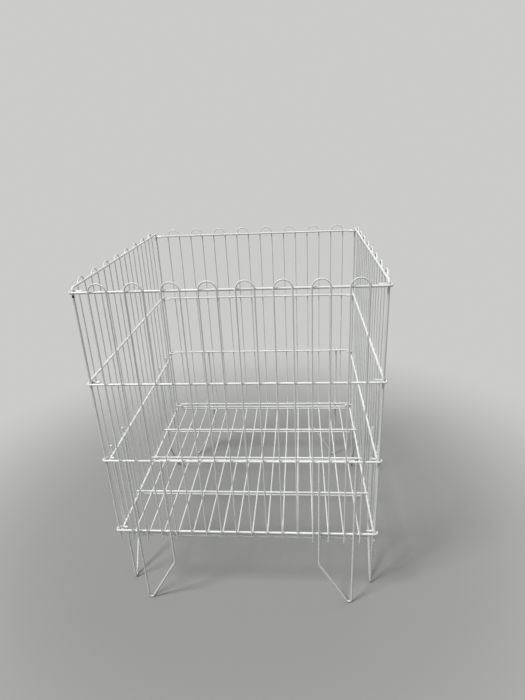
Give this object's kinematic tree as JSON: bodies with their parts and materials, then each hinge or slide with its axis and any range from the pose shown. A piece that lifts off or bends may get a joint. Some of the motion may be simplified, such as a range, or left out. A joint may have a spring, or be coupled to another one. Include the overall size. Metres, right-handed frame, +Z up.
{
  "type": "retail dump bin",
  "caption": "Square folding wire dump bin with hairpin panels, hooked corners, V-shaped wire feet and a loose wire shelf.",
  "frame": {"origin": "on the floor under the middle of the bin", "axes": "+Z up, the front panel faces -Y, +X to the right of someone facing the front"},
  "size_m": [0.6162, 0.626, 0.8129],
  "materials": {
    "frame_wire_coat": "satin white plastic coat on steel rail and upright wire",
    "filler_wire_coat": "satin white plastic coat on thin hairpin wire",
    "foot_wire_coat": "satin white plastic coat on foot wire, scuffed where it meets the floor",
    "shelf_wire_coat": "satin white plastic coat on shelf wire, dull where goods rub it"
  },
  "bodies": {
    "front_panel": {"front_hairpin_1": "filler_wire_coat", "front_hairpin_2": "filler_wire_coat", "front_hairpin_3": "filler_wire_coat", "front_hairpin_4": "filler_wire_coat", "front_hairpin_5": "filler_wire_coat", "front_hairpin_6": "filler_wire_coat", "front_hairpin_7": "filler_wire_coat", "front_hairpin_8": "filler_wire_coat", "front_left_foot": "foot_wire_coat", "front_lowest_rail": "frame_wire_coat", "front_right_foot": "foot_wire_coat", "front_rim_rail": "frame_wire_coat", "front_second_rail": "frame_wire_coat", "front_third_rail": "frame_wire_coat"},
    "left_panel": {"left_frame": "frame_wire_coat", "left_hairpin_1": "filler_wire_coat", "left_hairpin_2": "filler_wire_coat", "left_hairpin_3": "filler_wire_coat", "left_hairpin_4": "filler_wire_coat", "left_hairpin_5": "filler_wire_coat", "left_hairpin_6": "filler_wire_coat", "left_hairpin_7": "filler_wire_coat", "left_hairpin_8": "filler_wire_coat", "left_left_foot": "foot_wire_coat", "left_lowest_rail": "frame_wire_coat", "left_right_foot": "foot_wire_coat", "left_second_rail": "frame_wire_coat", "left_third_rail": "frame_wire_coat"},
    "right_panel": {"right_frame": "frame_wire_coat", "right_hairpin_1": "filler_wire_coat", "right_hairpin_2": "filler_wire_coat", "right_hairpin_3": "filler_wire_coat", "right_hairpin_4": "filler_wire_coat", "right_hairpin_5": "filler_wire_coat", "right_hairpin_6": "filler_wire_coat", "right_hairpin_7": "filler_wire_coat", "right_hairpin_8": "filler_wire_coat", "right_left_foot": "foot_wire_coat", "right_lowest_rail": "frame_wire_coat", "right_right_foot": "foot_wire_coat", "right_second_rail": "frame_wire_coat", "right_third_rail": "frame_wire_coat"},
    "back_panel": {"back_hairpin_1": "filler_wire_coat", "back_hairpin_2": "filler_wire_coat", "back_hairpin_3": "filler_wire_coat", "back_hairpin_4": "filler_wire_coat", "back_hairpin_5": "filler_wire_coat", "back_hairpin_6": "filler_wire_coat", "back_hairpin_7": "filler_wire_coat", "back_hairpin_8": "filler_wire_coat", "back_left_foot": "foot_wire_coat", "back_lowest_rail": "frame_wire_coat", "back_right_foot": "foot_wire_coat", "back_rim_rail": "frame_wire_coat", "back_second_rail": "frame_wire_coat", "back_third_rail": "frame_wire_coat"},
    "shelf": {"shelf_edge_wires": "shelf_wire_coat", "shelf_long_wires": "shelf_wire_coat", "shelf_lower_cross_wires": "shelf_wire_coat", "shelf_upper_cross_wires": "shelf_wire_coat"}
  },
  "joints": [
    {"name": "left_hinge", "type": "hinge", "parent": "front_panel", "child": "left_panel", "pos_m": [-0.3, -0.3, 0.4], "axis": [0, 0, 1], "range_deg": [-1, 1]},
    {"name": "right_hinge", "type": "hinge", "parent": "front_panel", "child": "right_panel", "pos_m": [0.3, -0.3, 0.4], "axis": [0, 0, 1], "range_deg": [-1, 1]},
    {"name": "back_hinge", "type": "hinge", "parent": "left_panel", "child": "back_panel", "pos_m": [-0.3, 0.3, 0.4], "axis": [0, 0, 1], "range_deg": [-1, 1]},
    {"name": "shelf_lift", "type": "slide", "parent": "front_panel", "child": "shelf", "axis": [0, 0, 1], "range_m": [0, 0.187]}
  ],
  "couplings": [
    {"joint": "right_hinge", "follows": "left_hinge", "ratio": 1},
    {"joint": "back_hinge", "follows": "left_hinge", "ratio": -1}
  ]
}
